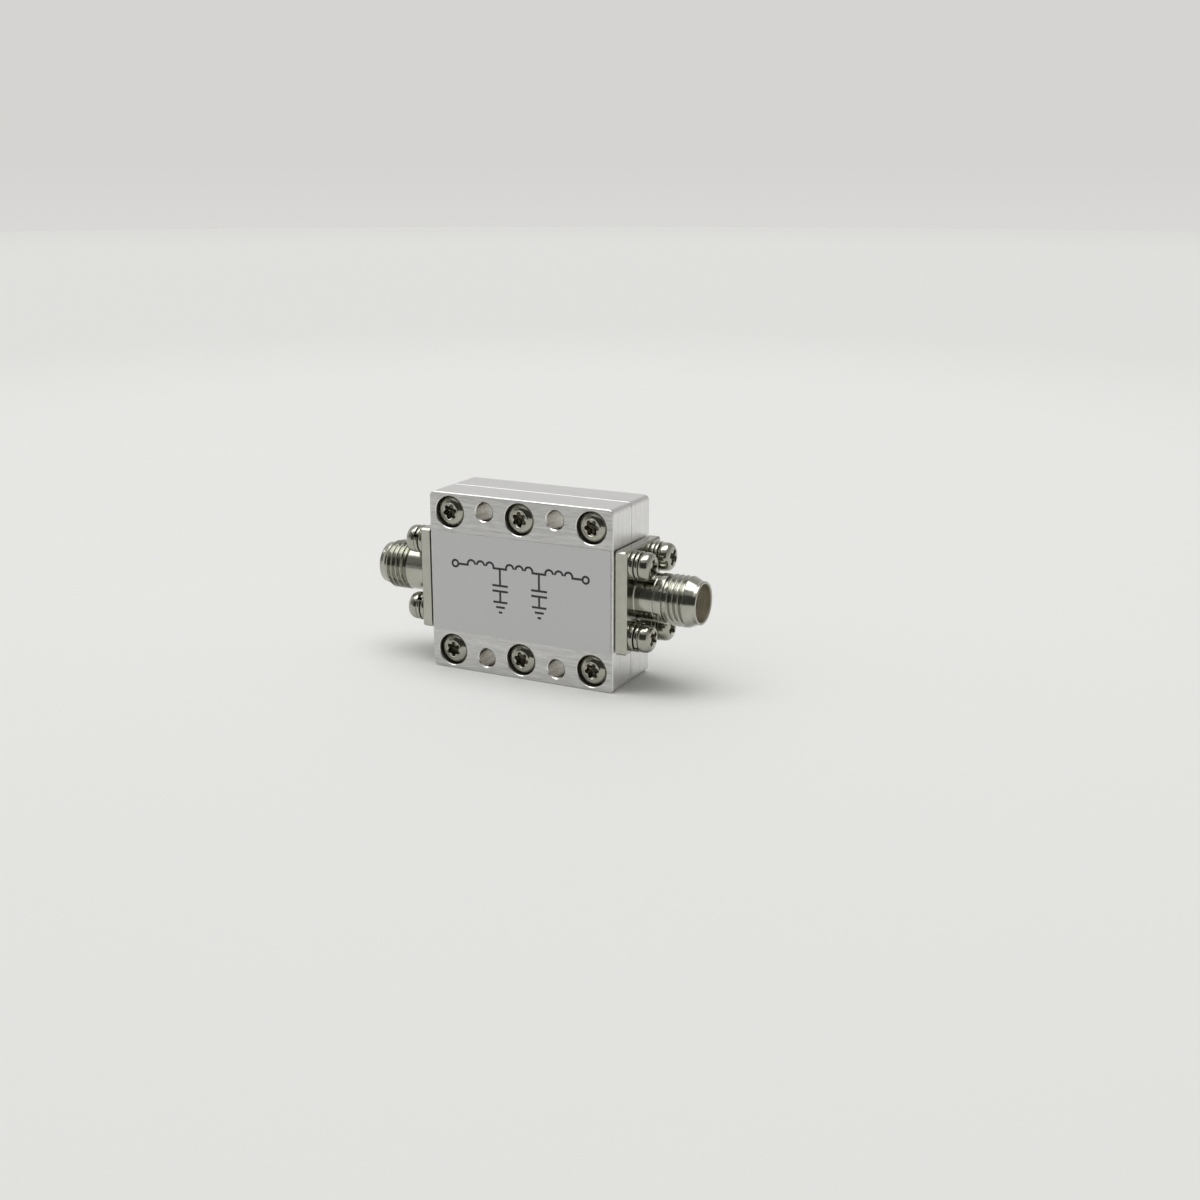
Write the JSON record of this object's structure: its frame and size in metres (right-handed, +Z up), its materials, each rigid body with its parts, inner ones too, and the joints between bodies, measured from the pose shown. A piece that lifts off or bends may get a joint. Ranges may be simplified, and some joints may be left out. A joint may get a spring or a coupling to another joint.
{
  "type": "coaxial low-pass filter",
  "caption": "Inline coaxial low-pass filter: a split metal block with a threaded female jack on each end, passing low radio frequencies and stopping high ones",
  "frame": {"origin": "bottom centre of the housing, midway through its depth", "axes": "+X along the signal line from the left jack to the right jack, -Y towards the front face with the label and the cover screws, +Z up"},
  "size_m": [0.0444, 0.0099, 0.0226],
  "materials": {
    "housing": "milled and brushed, bare",
    "label_film": "matte silver film",
    "fasteners": "bright nickel",
    "jacks": "turned and passivated",
    "insulator": "turned fluoropolymer",
    "gold_plate": "gold plated"
  },
  "bodies": {
    "root": {"housing_front": "housing", "housing_rear": "housing", "label": "label_film", "cover_screw_1": "fasteners", "cover_screw_2": "fasteners", "cover_screw_3": "fasteners", "cover_screw_4": "fasteners", "cover_screw_5": "fasteners", "cover_screw_6": "fasteners", "connector_left": "jacks", "connector_right": "jacks", "dielectric_left": "insulator", "dielectric_right": "insulator", "contact_left": "gold_plate", "contact_right": "gold_plate", "flange_screw_1": "fasteners", "flange_screw_2": "fasteners", "flange_screw_3": "fasteners", "flange_screw_4": "fasteners", "flange_screw_5": "fasteners", "flange_screw_6": "fasteners", "flange_screw_7": "fasteners", "flange_screw_8": "fasteners", "spring_washer_1": "fasteners", "spring_washer_2": "fasteners", "spring_washer_3": "fasteners", "spring_washer_4": "fasteners", "spring_washer_5": "fasteners", "spring_washer_6": "fasteners", "spring_washer_7": "fasteners", "spring_washer_8": "fasteners", "flat_washer_1": "fasteners", "flat_washer_2": "fasteners", "flat_washer_3": "fasteners", "flat_washer_4": "fasteners", "flat_washer_5": "fasteners", "flat_washer_6": "fasteners", "flat_washer_7": "fasteners", "flat_washer_8": "fasteners", "inner_conductor": "gold_plate", "sleeve_1": "insulator", "sleeve_2": "insulator", "sleeve_3": "insulator", "sleeve_4": "insulator"}
  },
  "joints": []
}
